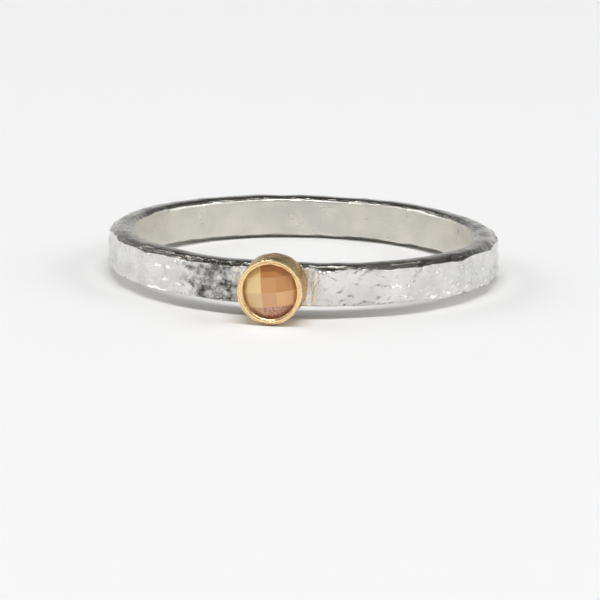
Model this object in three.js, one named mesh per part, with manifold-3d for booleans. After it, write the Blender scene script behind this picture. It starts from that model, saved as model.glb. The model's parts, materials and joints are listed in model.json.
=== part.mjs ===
// A stackable ring: a hammered silver band, and on its outside one round checkerboard-cut stone
// in a gold cup. Millimetres, +Z up. The ring lies on its side as it rests by itself, with the
// stone towards -Y, so the cup's underside and the band's far edge touch the surface. The origin
// is on that surface, under the middle of the ring's box.

import * as THREE from 'three';
import { ConvexGeometry } from 'three/addons/geometries/ConvexGeometry.js';
import { mergeVertices } from 'three/addons/utils/BufferGeometryUtils.js';
import Module from 'manifold-3d';

const wasm = await Module();
wasm.setup();

// Band. Its own frame has the bore along Z and the middle of its height at zero.
const BORE_R = 8.65; // a finger of US size 7
const BAND_H = 2.2; // over both sides
const BLANK_R = 10.1; // the round blank, before the hammer flattens its outside
const BAND_SEGMENTS = 120;

// The two sides are softly domed: a flat land at full height, falling off towards the bore and
// the outside. A row is one corner of that section.
const SIDE_DOME = [
  // radius, fall below full height
  [BORE_R, 0.22],
  [BORE_R + 0.04, 0.15],
  [BORE_R + 0.16, 0.07],
  [9.0, 0],
  [9.35, 0],
  [9.6, 0.05],
];
const LAND_OUTER = 4; // the row where the flat land ends on the outside
const FACE_EDGE_FALL = { upper: 0.36, lower: 0.2 }; // of the blank's filed outer edges

// The hammer's blows. Each leaves one flat across the band's whole height.
// at: degrees round the band from the stone, towards +X. reach: the flat's distance from the
// bore's axis. lean: degrees that its top leans outwards.
const BLOWS = [
  // at, reach, lean
  [24.5, 9.88, 1.2],
  [40, 9.98, -1.8],
  [53, 9.92, 1.0],
  [70, 9.9, -0.8],
  [88, 9.89, 0.9],
  [105, 9.91, -1.4],
  [121, 9.92, 1.3],
  [137, 9.9, 0.4],
  [155, 9.88, -1.1],
  [180, 9.84, 0],
  [203, 9.87, 1.2],
  [220, 9.92, -0.9],
  [236, 9.9, 1.5],
  [254, 9.89, -0.6],
  [271, 9.9, 0.8],
  [289, 9.88, -1.2],
  [308, 9.91, 1.0],
  [323, 9.94, -1.6],
  [340, 9.9, 0.7],
];
const HAMMER = { width: 8, depth: 2, height: 6 }; // larger than any flat

// Cup. Its own frame has its axis along Z, its back at zero and its mouth upwards.
const SEAT_REACH = 9.75; // the flat filed on the band for the cup, from the bore's axis
const SOLDER_GAP = 0.03;
const CUP_R = 1.675;
const CUP_DEPTH = 1.8;
const CUP_FLOOR = 0.2;
const LIP_R = 1.34; // the opening that the rolled lip leaves over the stone
const WELL_R = 1.2; // below the ledge that carries the stone
const CUP_SEGMENTS = 64;

// The rolled lip, from the wall over its crest and down to the opening. A row is one corner.
const LIP_SECTION = [
  // radius, drop below the mouth
  [CUP_R, 0.14],
  [CUP_R - 0.035, 0.05],
  [CUP_R - 0.09, 0],
  [CUP_R - 0.15, 0.01],
  [LIP_R + 0.06, 0.12],
  [LIP_R, 0.2],
];
const LIP_UNDER = 0.13; // the underside of the lip at the opening, above the girdle

// Stone. It shares the cup's frame.
const STONE_R = 1.45;
const STONE_GAP = 0.03; // to the cup all round
const GIRDLE_Z = 1.42; // the girdle's upper edge
const GIRDLE_H = 0.08;
const CROWN_H = 0.62;
const PAVILION_H = 1.0;
const PAVILION_FACETS = 16;
const CHECK_PITCH = 0.74; // width of a checkerboard facet
const CHECK_LINES = { columns: 6, rows: 7 }; // the lines of the grid, past the edge on each side
const CHECK_TURN = THREE.MathUtils.degToRad(7);

const SILVER = new THREE.MeshStandardMaterial({ color: 0xdcdcda, roughness: 0.28, metalness: 1 });
const GOLD = new THREE.MeshStandardMaterial({ color: 0xe3b663, roughness: 0.2, metalness: 1 });
const PEACH = new THREE.MeshStandardMaterial({ color: 0xd9a06c, roughness: 0.05, metalness: 0 });

const MERGE_DISTANCE = 1e-4; // points of one surface that are closer than this are one

/** Merged positions and triangles of a three.js geometry, without its empty triangles. */
function cleanTriangles(geometry) {
  const bare = geometry.clone();
  bare.deleteAttribute('normal');
  bare.deleteAttribute('uv');
  const merged = mergeVertices(bare, MERGE_DISTANCE);
  const corners = merged.index.array;
  const kept = [];
  for (let i = 0; i < corners.length; i += 3) {
    const [a, b, c] = corners.slice(i, i + 3);
    if (a !== b && b !== c && c !== a) kept.push(a, b, c);
  }
  return { points: merged.attributes.position.array, corners: kept };
}

/** A closed three.js geometry as a solid that can be cut. */
function toSolid(geometry) {
  const { points, corners } = cleanTriangles(geometry);
  return new wasm.Manifold(
    new wasm.Mesh({
      numProp: 3,
      vertProperties: new Float32Array(points),
      triVerts: new Uint32Array(corners),
    }),
  );
}

/** A cut solid as a three.js geometry. */
function toGeometry(solid) {
  const { vertProperties, triVerts } = solid.getMesh();
  const geometry = new THREE.BufferGeometry();
  geometry.setAttribute('position', new THREE.BufferAttribute(vertProperties, 3));
  geometry.setIndex(new THREE.BufferAttribute(triVerts, 1));
  geometry.computeVertexNormals();
  return geometry;
}

/** A closed profile of [radius, height] turned about Z. It runs anticlockwise: out, up and back. */
function turned(profile, segments) {
  const points = profile.map(([radius, height]) => new THREE.Vector2(radius, height));
  return new THREE.LatheGeometry(points, segments).rotateX(Math.PI / 2);
}

/** The round blank: both domed sides and their filed outer edges, turned about the bore. */
function bandBlank() {
  const top = BAND_H / 2;
  const upperSide = [...SIDE_DOME, [BLANK_R, FACE_EDGE_FALL.upper]];
  const lowerSide = [...SIDE_DOME, [BLANK_R, FACE_EDGE_FALL.lower]];
  const profile = [
    ...lowerSide.map(([radius, fall]) => [radius, -top + fall]),
    ...upperSide.map(([radius, fall]) => [radius, top - fall]).reverse(),
  ];
  return turned([...profile, profile[0]], BAND_SEGMENTS);
}

/** What one blow takes off: a block outside the flat at this angle, reach and lean. */
function blowBlock(at, reach, lean) {
  const { width, depth, height } = HAMMER;
  const block = new THREE.BoxGeometry(width, depth, height);
  block.translate(0, -depth / 2, 0);
  block.rotateX(THREE.MathUtils.degToRad(lean));
  block.translate(0, -reach, 0);
  block.rotateZ(THREE.MathUtils.degToRad(at));
  return block;
}

function bandGeometry() {
  let band = toSolid(bandBlank());
  for (const [at, reach, lean] of [[0, SEAT_REACH, 0], ...BLOWS]) {
    band = band.subtract(toSolid(blowBlock(at, reach, lean)));
  }
  return toGeometry(band);
}

/** How steeply the stone's underside falls towards its point. */
const PAVILION_SLOPE = PAVILION_H / STONE_R;

function cupGeometry() {
  const girdleR = STONE_R + STONE_GAP;
  const ledgeZ = GIRDLE_Z - GIRDLE_H - STONE_GAP;
  return turned(
    [
      [0, 0],
      [CUP_R, 0],
      ...LIP_SECTION.map(([radius, drop]) => [radius, CUP_DEPTH - drop]),
      [LIP_R, GIRDLE_Z + LIP_UNDER],
      [girdleR, GIRDLE_Z + STONE_GAP],
      [girdleR, ledgeZ],
      [WELL_R, ledgeZ - (girdleR - WELL_R) * PAVILION_SLOPE],
      [WELL_R, CUP_FLOOR],
      [0, CUP_FLOOR],
    ],
    CUP_SEGMENTS,
  );
}

/** Where count lines of a grid lie, evenly on both sides of zero. */
function gridLines(count) {
  return Array.from({ length: count }, (_, i) => (i - (count - 1) / 2) * CHECK_PITCH);
}

/**
 * The crown: square facets between the points of a grid on a paraboloid. A column of facets
 * crosses the middle, and a line between two rows.
 */
function crownBlock() {
  const curve = CROWN_H / STONE_R ** 2;
  const points = [];
  for (const x of gridLines(CHECK_LINES.columns)) {
    for (const y of gridLines(CHECK_LINES.rows)) {
      points.push(new THREE.Vector3(x, y, GIRDLE_Z + CROWN_H - curve * (x * x + y * y)));
      points.push(new THREE.Vector3(x, y, -CUP_DEPTH));
    }
  }
  return new ConvexGeometry(points).rotateZ(CHECK_TURN);
}

/** The stone's outline in plan and its faceted underside, open-ended upwards past the crown. */
function pavilionBlock() {
  const girdleBottom = GIRDLE_Z - GIRDLE_H;
  const above = GIRDLE_Z + 2 * CROWN_H;
  return turned(
    [
      [0, girdleBottom - PAVILION_H],
      [STONE_R, girdleBottom],
      [STONE_R, above],
      [0, above],
    ],
    PAVILION_FACETS,
  );
}

function stoneGeometry() {
  return toGeometry(toSolid(crownBlock()).intersect(toSolid(pavilionBlock())));
}

function piece(name, geometry, material) {
  const mesh = new THREE.Mesh(geometry, material);
  mesh.name = name;
  return mesh;
}

// The cup and its stone face outwards, towards -Y.
const setting = new THREE.Group();
setting.add(piece('bezel_cup', cupGeometry(), GOLD), piece('stone', stoneGeometry(), PEACH));
setting.rotation.x = Math.PI / 2;
setting.position.y = -SEAT_REACH - SOLDER_GAP;

const ring = new THREE.Group();
ring.add(piece('band', bandGeometry(), SILVER), setting);

// At rest the band is tipped a little, because the cup reaches below its lower side.
const farContact = SIDE_DOME[LAND_OUTER][0];
ring.rotation.x = -Math.atan2(CUP_R - BAND_H / 2, SEAT_REACH + SOLDER_GAP + farContact);
const box = new THREE.Box3().setFromObject(ring, true);
const middle = box.getCenter(new THREE.Vector3());
ring.position.set(-middle.x, -middle.y, -box.min.z);

const group = new THREE.Group();
group.name = 'stackable_ring';
group.add(ring);

export default group;
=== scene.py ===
# %% [markdown]
# # A hammered stacking ring
#
# A narrow silver band, flattened all round with a hammer, carries one small stone in a gold
# cup. The ring lies on a white table as it comes to rest by itself.
#
# The imported CAD model is the frame: it says how large the ring is and where each piece goes.
# Blender then makes the surfaces. This first cell loads that frame.

# %% Load the frame
import json
import math

import bpy
from mathutils import Matrix, Vector


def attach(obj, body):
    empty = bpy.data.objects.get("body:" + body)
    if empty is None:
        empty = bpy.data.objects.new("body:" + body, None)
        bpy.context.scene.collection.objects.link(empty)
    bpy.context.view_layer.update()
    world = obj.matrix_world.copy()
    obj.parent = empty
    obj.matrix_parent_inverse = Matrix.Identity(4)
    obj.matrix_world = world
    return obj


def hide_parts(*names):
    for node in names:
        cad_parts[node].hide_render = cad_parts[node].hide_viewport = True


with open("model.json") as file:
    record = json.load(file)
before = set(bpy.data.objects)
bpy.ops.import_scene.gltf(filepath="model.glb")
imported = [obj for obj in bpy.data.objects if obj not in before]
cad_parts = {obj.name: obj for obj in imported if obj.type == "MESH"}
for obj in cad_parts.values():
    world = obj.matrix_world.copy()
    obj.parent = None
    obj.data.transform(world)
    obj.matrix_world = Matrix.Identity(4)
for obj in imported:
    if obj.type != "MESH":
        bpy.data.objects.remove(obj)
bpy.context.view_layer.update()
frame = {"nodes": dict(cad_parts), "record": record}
record = frame["record"]
print("nodes:", sorted(frame["nodes"]))

# %% [markdown]
# ## The bench
#
# Blender's tools work best on things of a metre or so, and a ring is far smaller. So each piece
# is made on a "bench", where one unit is one millimetre and the bore stands upright on the
# origin. A single matrix then carries it to its place. The matrix comes from the frame: the two
# mounts lie on the band's sides, straight above each other, and give the direction of the bore.

# %% From the bench to the ring's place
MM = 0.001
LAND_R = 9.2      # how far both side mounts are from the bore's axis
mounts = {mount["name"]: mount for mount in record["mounts"]}
bore_axis = Vector(mounts["upper_side"]["axis"]).normalized()
between = (Vector(mounts["upper_side"]["pos_m"]) + Vector(mounts["lower_side"]["pos_m"])) / 2
far_side = Vector((0, bore_axis.z, -bore_axis.y))
ring_centre = between - far_side * LAND_R * MM
tilt = math.atan2(bore_axis.y, bore_axis.z)
to_place = Matrix.Translation(ring_centre) @ Matrix.Rotation(-tilt, 4, "X") @ Matrix.Scale(MM, 4)
to_bench = to_place.inverted()
print(f"ring centre {[round(v / MM, 3) for v in ring_centre]} mm, tilt {math.degrees(tilt):.2f} deg")

# %% [markdown]
# ## Helpers
#
# An operator works on whatever is selected, and loading the frame leaves its nodes selected.
# `only` clears that first. `pick` then selects faces in code, by their centre and normal, as a
# mouse would in the window.

# %% Choose what an operator works on


def only(piece):
    bpy.ops.object.select_all(action="DESELECT")
    piece.select_set(True)
    bpy.context.view_layer.objects.active = piece
    return piece


def pick(piece, wanted):
    """Goes into edit mode with just the faces for which wanted(centre, normal) is true."""
    only(piece)
    if piece.mode == "EDIT":
        bpy.ops.object.mode_set(mode="OBJECT")
    mesh = piece.data
    for group in (mesh.vertices, mesh.edges):
        group.foreach_set("select", [False] * len(group))
    for face in mesh.polygons:
        face.select = wanted(face.center, face.normal)
    bpy.ops.object.mode_set(mode="EDIT")
    bpy.ops.mesh.select_mode(type="FACE")


def back_to_object():
    bpy.ops.object.mode_set(mode="OBJECT")


print("selected after loading:", [piece.name for piece in bpy.context.selected_objects])

# %% [markdown]
# A modifier is added with its settings and then applied, so that the finished mesh is what the
# modelling left. A finished piece goes to its place in one step, rides on the ring's only body,
# stands for its CAD node and is counted.

# %% Modifiers, shading and the step to the ring's place


def add_modifier(piece, kind, **settings):
    modifier = piece.modifiers.new(kind.title(), kind)
    for name, value in settings.items():
        setattr(modifier, name, value)
    return modifier


def apply_modifiers(piece):
    only(piece)
    for modifier in list(piece.modifiers):
        bpy.ops.object.modifier_apply(modifier=modifier.name)


def count(piece):
    return sum(len(face.vertices) - 2 for face in piece.data.polygons)


def smooth(piece, degrees):
    only(piece)
    bpy.ops.object.shade_smooth_by_angle(angle=math.radians(degrees))


def put_in_place(piece, name, node):
    """Carries a piece from the bench to its place and lets it stand for its CAD node."""
    piece.data.transform(to_place)
    piece.name = piece.data.name = name
    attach(piece, "root")
    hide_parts(node)
    print(f"{name}: {count(piece)} triangles")
    return piece


MERGE = 0.0005


def on_bench(node, name):
    """A merged copy of a CAD node, on the bench, where MERGE mm apart counts as one point."""
    source = frame["nodes"][node]
    piece = bpy.data.objects.new(name, source.data.copy())
    bpy.context.scene.collection.objects.link(piece)
    piece.data.transform(to_bench)
    pick(piece, lambda centre, normal: True)
    bpy.ops.mesh.remove_doubles(threshold=MERGE)
    back_to_object()
    return piece


# %% [markdown]
# ## Patterns
#
# Patterns, in modelling and in materials alike, are trees of nodes. One function adds a node:
# `settings` are its own options, and `inputs` maps a socket's name or number to a value or to
# another node's output.

# %% One function that adds a node


def add_node(tree, kind, inputs=None, **settings):
    node = tree.nodes.new(kind)
    for name, value in settings.items():
        setattr(node, name, value)
    for key, value in (inputs or {}).items():
        socket = node.inputs[key]
        if isinstance(value, bpy.types.NodeSocket):
            tree.links.new(value, socket)
        else:
            socket.default_value = value
    return node


# %% [markdown]
# Each function below builds a whole pattern at its size in millimetres. The same lumps or
# creases can then be points that are moved, a roughness or a stain. Noise gives soft lumps. The
# borders of a Voronoi pattern, bent by noise, give the sharp valleys of crumpled foil.

# %% Lumps and creases at their real size


def lumps(tree, place, size, low, high, stretch=(1, 1, 1), detail=2.0, roughness=0.5):
    """Soft random lumps about size mm across, times stretch, that run from low to high."""
    scaled = add_node(
        tree, "ShaderNodeVectorMath",
        {0: place, 1: [1 / (size * along) for along in stretch]}, operation="MULTIPLY",
    )
    cloud = add_node(
        tree, "ShaderNodeTexNoise",
        {"Vector": scaled.outputs[0], "Scale": 1.0, "Detail": detail, "Roughness": roughness},
    )
    spread = add_node(
        tree, "ShaderNodeMapRange",
        {
            "Value": cloud.outputs[0], "From Min": 0.3, "From Max": 0.7,
            "To Min": low, "To Max": high,
        },
        interpolation_type="SMOOTHSTEP",
    )
    return spread.outputs["Result"]


def creases(tree, place, size, bend, width, low, high):
    """Creases of crumpled foil, size mm apart: low along each, high at width of size from it."""
    wander = add_node(tree, "ShaderNodeTexNoise", {"Vector": place, "Scale": 1.3, "Detail": 2.0})
    offset = add_node(
        tree, "ShaderNodeVectorMath", {0: wander.outputs["Color"], 3: bend}, operation="SCALE"
    )
    bent = add_node(tree, "ShaderNodeVectorMath", {0: place, 1: offset.outputs[0]})
    scaled = add_node(
        tree, "ShaderNodeVectorMath", {0: bent.outputs[0], 3: 1 / size}, operation="SCALE"
    )
    cells = add_node(
        tree, "ShaderNodeTexVoronoi",
        {"Vector": scaled.outputs[0], "Scale": 1.0}, feature="DISTANCE_TO_EDGE",
    )
    valley = add_node(
        tree, "ShaderNodeMapRange",
        {"Value": cells.outputs["Distance"], "From Max": width, "To Min": low, "To Max": high},
        interpolation_type="SMOOTHSTEP",
    )
    return valley.outputs["Result"]


# %% [markdown]
# A mask says where a pattern holds, from 0 to 1. Marks and masks are summed in one chain, and
# the last function turns the sum into a Geometry Nodes tree that moves the points of a mesh.

# %% Masks and the tree that moves points


def around(tree, place, centre, full, gone, ragged):
    """1 within full mm of a centre and 0 past gone mm, with an edge that is ragged mm uneven."""
    far = add_node(tree, "ShaderNodeVectorMath", {0: place, 1: centre}, operation="DISTANCE")
    uneven = add_node(
        tree, "ShaderNodeMath",
        {0: far.outputs["Value"], 1: lumps(tree, place, 0.5, -ragged, ragged, detail=3.0)},
        operation="ADD",
    )
    fade = add_node(
        tree, "ShaderNodeMapRange",
        {"Value": uneven.outputs[0], "From Min": gone, "From Max": full},
        interpolation_type="SMOOTHSTEP",
    )
    return fade.outputs["Result"]


def masked_sum(tree, marks):
    """The sum of (mark, mask) pairs, each mark times its mask."""
    total = 0.0
    for mark, mask in marks:
        total = add_node(
            tree, "ShaderNodeMath", {0: mark, 1: mask, 2: total}, operation="MULTIPLY_ADD"
        ).outputs[0]
    return total


def moved_along_normals(name, depth_of):
    """A Geometry Nodes tree that moves each point along its normal by depth_of(...) mm."""
    tree = bpy.data.node_groups.new(name, "GeometryNodeTree")
    for in_out in ("INPUT", "OUTPUT"):
        tree.interface.new_socket("Geometry", in_out=in_out, socket_type="NodeSocketGeometry")
    skin = add_node(tree, "NodeGroupInput").outputs[0]
    place = add_node(tree, "GeometryNodeInputPosition").outputs[0]
    normal = add_node(tree, "GeometryNodeInputNormal").outputs[0]
    depth, kept = depth_of(tree, place, normal)
    for attribute, value in kept.items():
        skin = add_node(
            tree, "GeometryNodeStoreNamedAttribute",
            {"Geometry": skin, "Name": attribute, "Value": value},
            data_type="FLOAT", domain="POINT",
        ).outputs["Geometry"]
    move = add_node(tree, "ShaderNodeVectorMath", {0: normal, 3: depth}, operation="SCALE")
    moved = add_node(
        tree, "GeometryNodeSetPosition", {"Geometry": skin, "Offset": move.outputs[0]}
    )
    add_node(tree, "NodeGroupOutput", {0: moved.outputs[0]})
    return tree


print("each pattern is sized in mm, on a bench of", round(1 / MM), "units to the metre")

# %% [markdown]
# ## The band
#
# A silversmith bends a bar round a mandrel, solders it shut and flattens the outside with a
# planishing hammer. That leaves broad flats with soft ridges between them, sides that are
# pushed up into a low dome, and creases like crumpled foil where the hammer's face was rough.
#
# A voxel remesh of the CAD band would leave steps on the flats. So the band gets a new, even
# skin: a rounded section is cut up finely and turned round the bore by a Screw modifier, and a
# Shrinkwrap modifier lays it on the CAD shape. The bore isn't wrapped, because there the turned
# skin is rounder than the CAD model's straight-sided hole.

# %% Draw the band's section
BORE_R, BAND_R = 8.65, 10.0      # mm, of the bore and of the outside
HALF_H = (Vector(mounts["upper_side"]["pos_m"]) - between).length / MM
CORNER_R, CORNER_CUTS = 0.12, 3
STEP = 0.066                     # mm between points of the skin, round the ring
WALL_CUTS, SIDE_CUTS = 28, 15    # of the section, for points as close as STEP or nearly

cad_band = on_bench("band", "cad_band")
bpy.ops.object.select_all(action="DESELECT")
bpy.ops.mesh.primitive_plane_add(
    size=1, location=((BORE_R + BAND_R) / 2, 0, 0), rotation=(math.pi / 2, 0, 0)
)
band = bpy.context.object
band.scale = (BAND_R - BORE_R, 2 * HALF_H, 1)
bpy.ops.object.transform_apply(location=True, rotation=True, scale=True)
bpy.ops.object.mode_set(mode="EDIT")
bpy.ops.mesh.select_mode(type="VERT")
bpy.ops.mesh.select_all(action="SELECT")
bpy.ops.mesh.bevel(offset=CORNER_R, segments=CORNER_CUTS, affect="VERTICES")
bpy.ops.mesh.delete(type="ONLY_FACE")
back_to_object()
for length, cuts in ((2 * HALF_H, WALL_CUTS), (BAND_R - BORE_R, SIDE_CUTS)):
    straight = length - 2 * CORNER_R
    for edge in band.data.edges:
        a, b = (band.data.vertices[i].co for i in edge.vertices)
        edge.select = abs((a - b).length - straight) < CORNER_R
    bpy.ops.object.mode_set(mode="EDIT")
    bpy.ops.mesh.select_mode(type="EDGE")
    bpy.ops.mesh.subdivide(number_cuts=cuts)
    bpy.ops.mesh.select_all(action="DESELECT")
    back_to_object()
print("section:", len(band.data.vertices), "points")

# %% Turn the section round the bore
steps = round(2 * math.pi * BAND_R / STEP)
add_modifier(
    band, "SCREW", axis="Z", steps=steps, render_steps=steps,
    use_merge_vertices=True, merge_threshold=0.001,
)
apply_modifiers(band)
bpy.ops.object.mode_set(mode="EDIT")
bpy.ops.mesh.select_all(action="SELECT")
bpy.ops.mesh.normals_make_consistent(inside=False)
back_to_object()
print("turned:", steps, "steps")

# %% Lay the skin on the CAD shape
EDGE_ZONE = 0.3      # mm of the bore, below each side, that follows the CAD shape too
off_bore = band.vertex_groups.new(name="off_bore")
off_bore.add(
    [
        v.index for v in band.data.vertices
        if v.co.xy.length > BORE_R + CORNER_R / 2 or abs(v.co.z) > HALF_H - EDGE_ZONE
    ],
    1, "REPLACE",
)
add_modifier(
    band, "SHRINKWRAP", target=cad_band, wrap_method="NEAREST_SURFACEPOINT", vertex_group="off_bore"
)
add_modifier(band, "SMOOTH", factor=0.5, iterations=5)
apply_modifiers(band)
bpy.data.objects.remove(cad_band)
print("skin:", len(band.data.vertices), "points,", count(band), "triangles")

# %% [markdown]
# The marks of the tools come next, as small moves of the skin along its own normals. They are
# a Geometry Nodes tree, because noise there can be stretched, bent and masked, and a real
# surface catches the light in a way that a bump in the material can't.
#
# Four kinds of mark lie on the outside: foil-like creases all round, a rough patch of pits
# beside the cup, cross-wise scratches further round, and upright file marks on the flat that
# the cup stands on. The long edges are chipped and uneven, where the hammer has spread the
# metal. The sides and the bore only waver, since the mandrel and the file kept them smooth.

# %% Where the marks are
CUP_R = 1.675
SEAT_AT = (0, -9.8, 0)                    # middle of the filed flat, under the cup
PATCH_AT = (-3.0, -9.4, -0.1)             # middle of the pitted patch, on the outside
SCRATCHED_AT = (7.4, -6.6, 0.1)           # middle of the crossed scratches


def how_outward(tree, place, normal):
    """How far the skin faces away from the bore's axis: 1 outside, 0 on the sides, -1 inside."""
    flat = add_node(tree, "ShaderNodeVectorMath", {0: place, 1: (1, 1, 0)}, operation="MULTIPLY")
    out = add_node(tree, "ShaderNodeVectorMath", {0: flat.outputs[0]}, operation="NORMALIZE")
    facing = add_node(
        tree, "ShaderNodeVectorMath", {0: normal, 1: out.outputs[0]}, operation="DOT_PRODUCT"
    )
    return facing.outputs["Value"]


print("outside of the band at", round(BAND_R, 2), "mm; cup on the flat at", SEAT_AT)

# %% [markdown]
# Each row of the sum below is one kind of mark: its size in millimetres, how deep it goes and
# the mask that says where it holds. Depths are in millimetres too, and nearly all go inwards,
# since a tool takes metal away or presses it down.

# %% Hammer, crease and file the band


def band_marks(tree, place, normal):
    facing = how_outward(tree, place, normal)
    outside = add_node(
        tree, "ShaderNodeMapRange", {"Value": facing, "From Min": 0.6, "From Max": 0.9},
        interpolation_type="SMOOTHSTEP",
    ).outputs["Result"]
    steepness = add_node(tree, "ShaderNodeMath", {0: facing}, operation="ABSOLUTE").outputs[0]
    off_side = add_node(
        tree, "ShaderNodeMapRange", {"Value": steepness, "From Min": 0.3, "From Max": 0.55},
        interpolation_type="SMOOTHSTEP",
    ).outputs["Result"]
    wall = add_node(
        tree, "ShaderNodeMapRange", {"Value": steepness, "From Min": 0.85, "From Max": 0.99},
        interpolation_type="SMOOTHSTEP",
    ).outputs["Result"]
    edge = add_node(tree, "ShaderNodeMath", {0: off_side, 1: wall}, operation="SUBTRACT").outputs[0]
    side = add_node(tree, "ShaderNodeMath", {0: 1.0, 1: wall}, operation="SUBTRACT").outputs[0]
    seat = masked_sum(tree, [(around(tree, place, SEAT_AT, 2.2, 2.6, 0.15), outside)])
    patch = masked_sum(tree, [(around(tree, place, PATCH_AT, 1.1, 2.0, 0.5), outside)])
    scratched = masked_sum(tree, [(around(tree, place, SCRATCHED_AT, 0.6, 1.4, 0.4), outside)])
    open_face = add_node(tree, "ShaderNodeMath", {0: outside, 1: seat}, operation="SUBTRACT")
    open_face = open_face.outputs[0]
    depth = masked_sum(tree, [
        (creases(tree, place, 1.15, 1.2, 0.13, -0.05, 0.004), open_face),
        (creases(tree, place, 0.5, 0.6, 0.25, -0.014, 0.002), open_face),
        (lumps(tree, place, 0.55, -0.015, 0.01, detail=3.0), open_face),
        (lumps(tree, place, 0.17, -0.06, 0.012, detail=4.0, roughness=0.7), patch),
        (creases(tree, place, 0.22, 0.2, 0.3, -0.022, 0.004), scratched),
        (lumps(tree, place, 0.24, -0.018, 0.006, (1, 1, 9)), seat),
        (lumps(tree, place, 0.5, -0.03, 0.0, detail=3.0), edge),
        (lumps(tree, place, 2.4, -0.05, 0.0, detail=1.0), side),
        (lumps(tree, place, 1.6, -0.032, 0.0, detail=1.0), wall),
        (lumps(tree, place, 0.2, -0.003, 0.0), 1.0),
    ])
    return depth, {"outside": outside, "patch": patch, "side": side}


add_modifier(band, "NODES", node_group=moved_along_normals("tool marks", band_marks))
apply_modifiers(band)
smooth(band, 60)
put_in_place(band, "hammered_band", "band")

# %% [markdown]
# ## The cup
#
# The gold cup, or bezel, is a short tube closed at the back. A ledge inside carries the stone,
# and a burnisher has rolled the tube's mouth over the stone's edge, which leaves a rounded rim
# with a fine line round it. It is made as a goldsmith would turn it: a cylinder, with its mouth
# inset, pushed in and widened step by step under the lip.

# %% Turn the cup
CUP_DEPTH = 1.8
LIP_R, GIRDLE_R, WELL_R = 1.34, 1.48, 1.2      # inside the lip, round the stone, under it
LIP_BACK, GROOVE_TOP = 1.55, 1.45              # heights where the lip ends and the groove opens
LEDGE, LEDGE_FOOT, FLOOR = 1.31, 1.12, 0.2     # heights of the stone's sloping ledge and the floor
SEAT_REACH, SOLDER_GAP = 9.75, 0.03            # from the bore's axis, and of the solder line
AROUND = 192                                   # points round the cup


def on_mouth(centre, normal):
    return normal.z > 0.9 and centre.xy.length < 0.01


def push_in(to_height, from_height):
    bpy.ops.mesh.extrude_region_move(
        TRANSFORM_OT_translate={"value": (0, 0, to_height - from_height)}
    )


def widen(to_radius, from_radius):
    size = to_radius / from_radius
    bpy.ops.transform.resize(value=(size, size, 1))


bpy.ops.object.select_all(action="DESELECT")
bpy.ops.mesh.primitive_cylinder_add(
    vertices=AROUND, radius=CUP_R, depth=CUP_DEPTH, location=(0, 0, CUP_DEPTH / 2)
)
cup = bpy.context.object
bpy.ops.object.transform_apply(location=True)
pick(cup, on_mouth)
bpy.ops.mesh.inset(thickness=CUP_R - LIP_R)
push_in(LIP_BACK, CUP_DEPTH)
push_in(GROOVE_TOP, LIP_BACK)
widen(GIRDLE_R, LIP_R)
push_in(LEDGE, GROOVE_TOP)
push_in(LEDGE_FOOT, LEDGE)
widen(WELL_R, GIRDLE_R)
push_in(FLOOR, LEDGE_FOOT)
back_to_object()
print("cup:", len(cup.data.polygons), "faces")

# %% [markdown]
# The rim is what shows. Rounding its outer edge, sloping its inner edge and pressing a line
# between the two gives the double ring that a burnisher leaves.

# %% Round the rim
ROLL, SLOPE, BACK_EDGE = 0.09, 0.13, 0.04     # widths of the bevels, in mm
GROOVE_EDGE, GROOVE_DEPTH = 0.025, 0.06       # of the line pressed into the rim
SAME = 0.01                                   # mm within which a point counts as there
RIM_BEVELS = (
    # radius, height, width, segments
    (CUP_R, CUP_DEPTH, ROLL, 5),
    (LIP_R, CUP_DEPTH, SLOPE, 4),
    (CUP_R, 0, BACK_EDGE, 2),
)


def rim_edges(radius, height):
    """Selects the round edge at this radius and height."""
    mesh = cup.data
    only(cup)
    for group in (mesh.vertices, mesh.edges, mesh.polygons):
        group.foreach_set("select", [False] * len(group))
    for edge in mesh.edges:
        ends = [mesh.vertices[i].co for i in edge.vertices]
        edge.select = all(
            abs(end.xy.length - radius) < SAME and abs(end.z - height) < SAME for end in ends
        )
    bpy.ops.object.mode_set(mode="EDIT")
    bpy.ops.mesh.select_mode(type="EDGE")


for radius, height, width, segments in RIM_BEVELS:
    rim_edges(radius, height)
    bpy.ops.mesh.bevel(offset=width, segments=segments, affect="EDGES")
    back_to_object()

pick(cup, lambda centre, normal: normal.z > 0.99 and centre.z > CUP_DEPTH - SAME)
bpy.ops.mesh.inset(thickness=GROOVE_EDGE)
bpy.ops.transform.translate(value=(0, 0, -GROOVE_DEPTH))
back_to_object()
print("rim:", len(cup.data.polygons), "faces")

# %% [markdown]
# The wall is cut into short rings, so that the small dents of the hand tool have points to
# move, and it narrows a little towards the mouth, where the tool has pressed it in.

# %% Dent the wall and set the cup on the band
WALL_RINGS = 24
TAPER, TAPER_FROM = 0.06, 0.6      # how much the mouth narrows, and from which height
for edge in cup.data.edges:
    ends = [cup.data.vertices[i].co for i in edge.vertices]
    upright = abs(ends[0].z - ends[1].z) > CUP_DEPTH / 2
    edge.select = upright and all(abs(end.xy.length - CUP_R) < SAME for end in ends)
bpy.ops.object.mode_set(mode="EDIT")
bpy.ops.mesh.select_mode(type="EDGE")
bpy.ops.mesh.subdivide(number_cuts=WALL_RINGS)
back_to_object()


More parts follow.
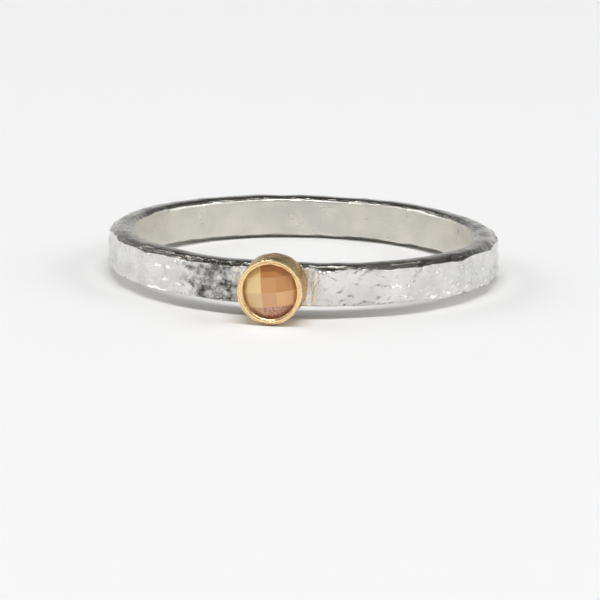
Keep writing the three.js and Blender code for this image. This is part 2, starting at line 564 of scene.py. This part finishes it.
def cup_marks(tree, place, normal):
    height = add_node(tree, "ShaderNodeSeparateXYZ", {0: place}).outputs["Z"]
    outside = add_node(
        tree, "ShaderNodeMapRange",
        {"Value": how_outward(tree, place, normal), "From Min": 0.7, "From Max": 0.97},
    ).outputs["Result"]
    taper = add_node(
        tree, "ShaderNodeMapRange",
        {"Value": height, "From Min": TAPER_FROM, "From Max": CUP_DEPTH, "To Max": -TAPER},
    ).outputs["Result"]
    depth = masked_sum(tree, [
        (taper, outside),
        (lumps(tree, place, 0.7, -0.03, 0.0, detail=1.0), 1.0),
        (lumps(tree, place, 0.13, -0.004, 0.0, detail=2.0), 1.0),
    ])
    return depth, {"wall": outside}


add_modifier(cup, "NODES", node_group=moved_along_normals("burnisher dents", cup_marks))
apply_modifiers(cup)
smooth(cup, 50)
onto_band = Matrix.Translation((0, -SEAT_REACH - SOLDER_GAP, 0)) @ Matrix.Rotation(
    math.pi / 2, 4, "X"
)
cup.data.transform(onto_band)
put_in_place(cup, "burnished_cup", "bezel_cup")

# %% [markdown]
# ## The stone
#
# The CAD stone already has every facet of a checkerboard cut, flat and with crisp edges as a
# lap wheel leaves them. Nothing that Blender could add would be finer, so it stays and only
# gets a material.

# %% Keep the stone
stone = frame["nodes"]["stone"]
print("stone:", count(stone), "triangles")

# %% [markdown]
# ## Materials
#
# A metal's colour is what it reflects, so both metals are plain in colour and get their look
# from roughness, fine bumps and the studio round them.

# %% Colour and material helpers


def linear(hex_colour):
    """An sRGB hex colour such as "#d9a441" as linear RGBA."""
    parts = [int(hex_colour[i:i + 2], 16) / 255 for i in (1, 3, 5)]
    return (*[c / 12.92 if c <= 0.04045 else ((c + 0.055) / 1.055) ** 2.4 for c in parts], 1)


def new_material(name):
    material = bpy.data.materials.new(name)
    material.use_nodes = True
    tree = material.node_tree
    tree.nodes.clear()
    shader = add_node(tree, "ShaderNodeBsdfPrincipled")
    output = add_node(tree, "ShaderNodeOutputMaterial", {"Surface": shader.outputs[0]})
    return material, tree, shader, output


def link(tree, output, shader, name):
    tree.links.new(output, shader.inputs[name])


def bench_place(tree):
    """Object coordinates turned into millimetres on the bench, so patterns follow the ring."""
    corner = add_node(tree, "ShaderNodeTexCoord").outputs["Object"]
    moved = add_node(
        tree, "ShaderNodeVectorMath", {0: corner, 1: ring_centre}, operation="SUBTRACT"
    )
    turned = add_node(
        tree, "ShaderNodeMapping",
        {"Vector": moved.outputs[0], "Rotation": (tilt, 0, 0), "Scale": (1 / MM,) * 3},
    )
    return turned.outputs[0]


print("mid grey is", round(linear("#808080")[0], 3), "in linear light")

# %% [markdown]
# The band's outside has been burnished by the hammer's face and is smoother than its bore. One
# stored attribute tells the two apart, so the finish follows the shape and not the view.
# Painting an image would do it too, but an attribute needs no unwrapping.

# %% Hammered sterling silver


def hammered_silver():
    """Sterling silver is the whitest metal; burnished by the hammer outside, satin in the bore.

    The bore is a little warmer, since it is worn and not polished. Dark blotches over the pitted patch are
    painted reflection and shade, in the colour; the pits themselves are dents in the shape.
    """
    material, tree, shader, _ = new_material("hammered sterling silver")
    place = bench_place(tree)
    outside = add_node(tree, "ShaderNodeAttribute", attribute_name="outside").outputs["Fac"]
    patch = add_node(tree, "ShaderNodeAttribute", attribute_name="patch").outputs["Fac"]
    side = add_node(tree, "ShaderNodeAttribute", attribute_name="side").outputs["Fac"]
    clean = add_node(
        tree, "ShaderNodeMix", {0: outside, 6: linear("#e6e2d8"), 7: linear("#efeeeb")},
        data_type="RGBA",
    )
    dull = add_node(
        tree, "ShaderNodeMix",
        {0: lumps(tree, place, 1.3, 0.0, 0.6, detail=3.0), 6: clean.outputs[2], 7: linear("#cfceca")},
        data_type="RGBA",
    )
    # Painted dark reflection and shade: dark blotches in the colour over the pitted patch.
    blotches = lumps(tree, place, 0.7, -0.05, 1.15, detail=6.0, roughness=0.75)
    painted_dark_reflection = add_node(
        tree, "ShaderNodeMath", {0: blotches, 1: patch}, operation="MULTIPLY", use_clamp=True
    ).outputs[0]
    colour = add_node(
        tree, "ShaderNodeMix", {0: painted_dark_reflection, 6: dull.outputs[2], 7: linear("#403f3d")},
        data_type="RGBA",
    )
    link(tree, colour.outputs[2], shader, "Base Color")
    shader.inputs["Metallic"].default_value = 1.0
    satin = add_node(
        tree, "ShaderNodeMapRange", {"Value": outside, "To Min": 0.32, "To Max": 0.2}
    ).outputs["Result"]
    rough = masked_sum(tree, [(lumps(tree, place, 1.2, 0.8, 1.3), satin), (patch, 0.15), (side, -0.14)])
    link(tree, rough, shader, "Roughness")
    grit = lumps(tree, place, 0.09, 0.0, 1.0, detail=3.0)
    bump = add_node(
        tree, "ShaderNodeBump", {"Strength": 0.5, "Distance": 0.02 * MM, "Height": grit}
    )
    link(tree, bump.outputs[0], shader, "Normal")
    return material


# %% [markdown]
# The cup's rim is rubbed and its wall is not, and a stored attribute again says which is which. The one
# gold gets two tones from it: pale on the rim as painted light, and deep brown on the wall as painted
# shade.

# %% Burnished yellow gold


def burnished_gold():
    """18 carat yellow gold: the rim is rubbed with a steel tool, and its grain is uneven.

    The one gold is painted in two tones: pale cream on the rim as painted light, and a deep brown on the
    wall as painted shade.
    """
    material, tree, shader, _ = new_material("burnished yellow gold")
    place = bench_place(tree)
    wall = add_node(tree, "ShaderNodeAttribute", attribute_name="wall").outputs["Fac"]
    # Painted light and shade: pale cream on the rim and deep brown on the wall, of one gold.
    colour = add_node(
        tree, "ShaderNodeMix", {0: wall, 6: linear("#ffe4b2"), 7: linear("#c99a3a")},
        data_type="RGBA",
    )
    link(tree, colour.outputs[2], shader, "Base Color")
    shader.inputs["Metallic"].default_value = 1.0
    link(tree, lumps(tree, place, 0.4, 0.18, 0.32, detail=3.0), shader, "Roughness")
    grain = lumps(tree, place, 0.08, 0.0, 1.0, detail=3.0)
    bump = add_node(
        tree, "ShaderNodeBump", {"Strength": 0.35, "Distance": 0.02 * MM, "Height": grain}
    )
    link(tree, bump.outputs[0], shader, "Normal")
    return material


# %% [markdown]
# A cut stone could be left wholly to ray tracing, but in a closed cup little light comes back and it turns
# nearly black. Here most of its body is cloudy, and each facet gets a painted tone of light and shade by
# the way it faces, so the checkerboard reads from every side.

# %% Peach gemstone


def lean(tree, normal, direction, low, high):
    """0 on facets that face away from a direction, 1 on those that lean towards it."""
    towards = add_node(
        tree, "ShaderNodeVectorMath", {0: normal, 1: direction}, operation="DOT_PRODUCT"
    )
    ramp = add_node(
        tree, "ShaderNodeMapRange",
        {"Value": towards.outputs["Value"], "From Min": low, "From Max": high},
    )
    return ramp.outputs["Result"]


def peach_stone():
    """A peach-brown stone, cut and polished.

    Each facet's colour carries painted light and shade by the way it faces: pale cream on facets that face
    left, where the light comes from, and deeper brown on those that face up or down. Pinkish speckles on
    the facets that face down are painted glints. A small share of the light passes through the stone, and
    the rest is in the colour.
    """
    material, tree, shader, output = new_material("peach gemstone")
    place = bench_place(tree)
    facet = add_node(tree, "ShaderNodeTexCoord").outputs["Normal"]
    colour = linear("#fdc489")
    # Painted light and shade on the facets: pale cream on those facing left, deeper brown on those facing
    # up or down.
    for direction, low, high, painted_facet_tone in (
        ((0, 0, 1), 0.15, 0.3, "#cd8d58"),
        ((0, 0, -1), 0.1, 0.45, "#c07a5a"),
        ((-1, 0, 0), 0.15, 0.4, "#ffdc9c"),
    ):
        colour = add_node(
            tree, "ShaderNodeMix",
            {0: lean(tree, facet, direction, low, high), 6: colour, 7: linear(painted_facet_tone)},
            data_type="RGBA",
        ).outputs[2]
    # Painted glints: pinkish speckles in the colour of the facets that face down.
    painted_glint_speckles = masked_sum(tree, [
        (lumps(tree, place, 0.09, -0.2, 1.0, detail=4.0), lean(tree, facet, (0, 0, -1), 0.15, 0.35)),
    ])
    colour = add_node(
        tree, "ShaderNodeMix", {0: painted_glint_speckles, 6: colour, 7: linear("#e8c4b4")}, data_type="RGBA"
    ).outputs[2]
    link(tree, colour, shader, "Base Color")
    shader.inputs["Roughness"].default_value = 0.03
    shader.inputs["IOR"].default_value = 1.6
    shader.inputs["Transmission Weight"].default_value = 0.15
    depth = add_node(
        tree, "ShaderNodeVolumeAbsorption", {"Color": linear("#e0ad7c"), "Density": 120.0}
    )
    tree.links.new(depth.outputs[0], output.inputs["Volume"])
    return material


# %% Give each piece its finish


def wear(piece, material):
    piece.data.materials.clear()
    piece.data.materials.append(material)


wear(band, hammered_silver())
wear(cup, burnished_gold())
wear(stone, peach_stone())
for piece in (band, cup, stone):
    print(piece.name, "wears", piece.data.materials[0].name)

# %% [markdown]
# ## The studio
#
# Metal shows what is round it. The table is white card, which the upright outside of the band
# mirrors, and that makes it bright.

# %% Lay the table
TABLE_R = 0.4
bpy.ops.object.select_all(action="DESELECT")
bpy.ops.mesh.primitive_circle_add(vertices=96, radius=TABLE_R, fill_type="NGON")
table = bpy.context.object
table.name = table.data.name = "table"
paper, paper_tree, paper_shader, _ = new_material("white card")
paper_shader.inputs["Base Color"].default_value = linear("#f2f2f2")
paper_shader.inputs["Roughness"].default_value = 0.9
paper_shader.inputs["Specular IOR Level"].default_value = 0.0
wear(table, paper)

print("table:", TABLE_R, "m in radius")

# %% [markdown]
# The sky is pale low down, most of all in front. Behind the ring it falls to a middle grey that
# shows in the flat sides of the band, and straight above it is dark, so that the filed edges
# read as dark lines.

# %% Paint the sky
world = bpy.data.worlds.new("studio")
bpy.context.scene.world = world
world.use_nodes = True
sky = world.node_tree
sky.nodes.clear()
direction = add_node(sky, "ShaderNodeTexCoord").outputs["Generated"]
place_in_sky = add_node(sky, "ShaderNodeSeparateXYZ", {0: direction})
# Each row is a height in the sky, from the horizon at 0 to straight above at 1, and its colour.
SKY = {
    "front": ((0.0, "#f6f6f6"), (0.15, "#ececec"), (0.3, "#b8b8b8"), (0.48, "#484847"), (0.75, "#2a2a2a")),
    "back": ((0.0, "#f6f6f6"), (0.14, "#e0e2e4"), (0.23, "#c4c6c9"), (0.31, "#585857"), (0.5, "#343433")),
}
gradients = []
for side_of_sky, rows in SKY.items():
    gradient = add_node(sky, "ShaderNodeValToRGB", {"Fac": place_in_sky.outputs["Z"]})
    stops = gradient.color_ramp.elements
    stops[0].position, stops[0].color = rows[0][0], linear(rows[0][1])
    stops[1].position, stops[1].color = rows[-1][0], linear(rows[-1][1])
    for position, colour in rows[1:-1]:
        stops.new(position).color = linear(colour)
    gradients.append(gradient.outputs[0])
to_back = add_node(
    sky, "ShaderNodeMapRange", {"Value": place_in_sky.outputs["Y"], "From Min": -0.3, "From Max": 0.3}
)
around_ring = add_node(
    sky, "ShaderNodeMix", {0: to_back.outputs[0], 6: gradients[0], 7: gradients[1]},
    data_type="RGBA",
)
backdrop = add_node(
    sky, "ShaderNodeBackground", {"Color": around_ring.outputs[2], "Strength": 1.0}
)
add_node(sky, "ShaderNodeOutputWorld", {"Surface": backdrop.outputs[0]})
print("sky:", len(gradients), "gradients")

# %% [markdown]
# A high lamp in front draws the bright line along the bore's far edge, and two wide ones at the
# sides keep the shadow on the table soft.

# %% Hang the lamps


def softbox(name, azimuth, elevation, distance, width, height, power):
    """A flat lamp that faces the ring. Azimuth 0 is where the stone faces, 90 is +X."""
    a, e = math.radians(azimuth), math.radians(elevation)
    back = Vector((math.sin(a) * math.cos(e), -math.cos(a) * math.cos(e), math.sin(e)))
    data = bpy.data.lights.new(name, "AREA")
    data.shape, data.size, data.size_y, data.energy = "RECTANGLE", width, height, power
    lamp = bpy.data.objects.new(name, data)
    bpy.context.scene.collection.objects.link(lamp)
    lamp.location = ring_centre + back * distance
    lamp.rotation_euler = back.to_track_quat("Z", "Y").to_euler()
    return lamp


softbox("front softbox", 10, 71, 0.9, 0.7, 0.22, 5.2)
softbox("left softbox", -95, 35, 0.9, 0.6, 0.5, 2.9)
softbox("right softbox", 95, 35, 0.9, 0.6, 0.5, 2.9)

print("lamps:", len(bpy.data.lights))

# %% [markdown]
# The camera looks down at the ring from a little to the right, through a long lens, as for a
# catalogue picture.

# %% Set up the camera
VIEW_AZIMUTH, VIEW_ELEVATION, VIEW_ROLL = 8.2, 13.2, 1.25     # degrees
DISTANCE = 320 * MM
ACROSS = 30.75 * MM           # width of what the camera sees at the ring
RAISED, SIDEWAYS = 2.62 * MM, 0.19 * MM      # of the ring from the picture's middle
a, e = math.radians(VIEW_AZIMUTH), math.radians(VIEW_ELEVATION)
back = Vector((math.sin(a) * math.cos(e), -math.cos(a) * math.cos(e), math.sin(e)))
camera_data = bpy.data.cameras.new("camera")
camera = bpy.data.objects.new("camera", camera_data)
bpy.context.scene.collection.objects.link(camera)
camera_data.sensor_width = 36
camera_data.lens = camera_data.sensor_width * DISTANCE / ACROSS
camera_data.clip_start, camera_data.clip_end = 0.01, 10
turn = back.to_track_quat("Z", "Y").to_matrix() @ Matrix.Rotation(math.radians(VIEW_ROLL), 3, "Z")
up, right = turn.col[1], turn.col[0]
aim = ring_centre - up * RAISED - right * SIDEWAYS
camera.matrix_world = Matrix.Translation(aim + back * DISTANCE) @ turn.to_4x4()
bpy.context.scene.camera = camera
bpy.context.scene.view_settings.view_transform = "Standard"
print(f"lens {camera_data.lens:.0f} mm")
